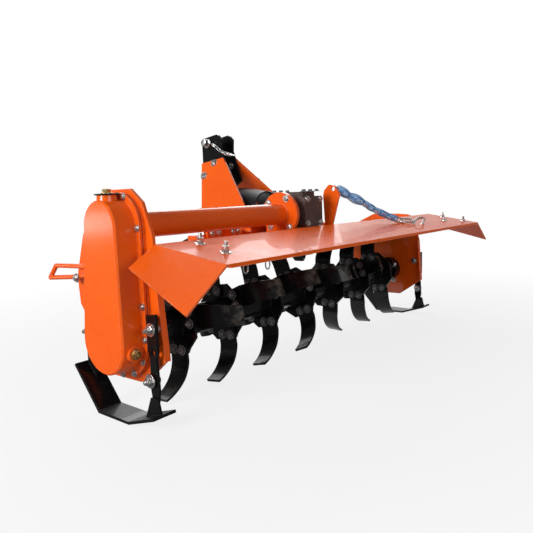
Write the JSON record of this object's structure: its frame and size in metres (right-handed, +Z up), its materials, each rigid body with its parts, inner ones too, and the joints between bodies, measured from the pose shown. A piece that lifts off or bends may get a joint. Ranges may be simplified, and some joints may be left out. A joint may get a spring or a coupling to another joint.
{
  "type": "rotary tiller",
  "caption": "Tractor-mounted rotary tiller: tined rotor under a hood, side chain case, mast, raised rear board on a chain and depth skids.",
  "frame": {"origin": "floor level, under the middle of the bounding box", "axes": "+X to the machine's right, +Y forward, +Z up"},
  "size_m": [1.545, 0.712, 0.706],
  "materials": {
    "black_paint": "satin black enamel",
    "black_plastic": "black moulded plastic",
    "brass": "yellow-passivated",
    "case_iron": "dark brown-grey cast iron, painted",
    "orange_paint": "semi-gloss orange enamel",
    "rubber": "black gasket",
    "steel": "ground steel",
    "zinc": "zinc-plated steel"
  },
  "bodies": {
    "frame": {"board_hinge_rod": "black_paint", "case_back": "orange_paint", "case_cover": "orange_paint", "case_gasket": "rubber", "chain_bracket": "orange_paint", "cross_tube": "orange_paint", "drain_plug": "brass", "end_plate_left": "orange_paint", "end_plate_right": "orange_paint", "filler_plug": "brass", "gearbox_housing": "case_iron", "gearbox_rear_cover": "case_iron", "gearbox_seat": "orange_paint", "gearbox_top_cover": "case_iron", "guard_loop": "orange_paint", "hitch_beam": "orange_paint", "hood": "orange_paint", "lower_hitch_left": "black_paint", "lower_hitch_right": "black_paint", "mast_plate_left": "orange_paint", "mast_plate_right": "orange_paint", "pto_guard": "black_plastic", "rotor_hub_left": "black_paint", "rotor_hub_right": "black_paint", "top_link_lug_left": "black_paint", "top_link_lug_right": "black_paint", "top_link_pin": "zinc"},
    "rotor": {"rotor_shaft": "black_paint", "tine_flanges": "black_paint", "tines_left": "black_paint", "tines_right": "black_paint"},
    "pto": {"pto_shaft": "steel"},
    "board": {"rear_board": "orange_paint", "board_wing_left": "orange_paint", "board_wing_right": "orange_paint", "board_eye": "zinc"},
    "chain": {"lift_chain": "zinc"},
    "skid_left": {"skid_left": "black_paint", "skid_hanger_left": "black_paint"},
    "skid_right": {"skid_right": "black_paint", "skid_hanger_right": "black_paint"}
  },
  "joints": [
    {"name": "rotor_spin", "type": "hinge", "parent": "frame", "child": "rotor", "pos_m": [-0.00245, -0.01, 0.181], "axis": [1, 0, 0], "continuous": true},
    {"name": "pto_spin", "type": "hinge", "parent": "frame", "child": "pto", "pos_m": [-0.00245, 0.14, 0.439], "axis": [0, 1, 0], "continuous": true},
    {"name": "board_hinge", "type": "hinge", "parent": "frame", "child": "board", "pos_m": [-0.00245, -0.13, 0.38], "axis": [1, 0, 0], "range_deg": [0, 55]},
    {"name": "chain_swing", "type": "hinge", "parent": "frame", "child": "chain", "pos_m": [0.09855, -0.106, 0.509], "axis": [0.5508, 0.7639, 0.3364], "range_deg": [0, 13]},
    {"name": "skid_left_height", "type": "slide", "parent": "frame", "child": "skid_left", "axis": [0, 0, 1], "range_m": [0, 0.05]},
    {"name": "skid_right_height", "type": "slide", "parent": "frame", "child": "skid_right", "axis": [0, 0, 1], "range_m": [0, 0.05]}
  ],
  "couplings": [
    {"joint": "pto_spin", "follows": "rotor_spin", "ratio": -2.6},
    {"joint": "chain_swing", "follows": "board_hinge", "ratio": 0.23}
  ]
}
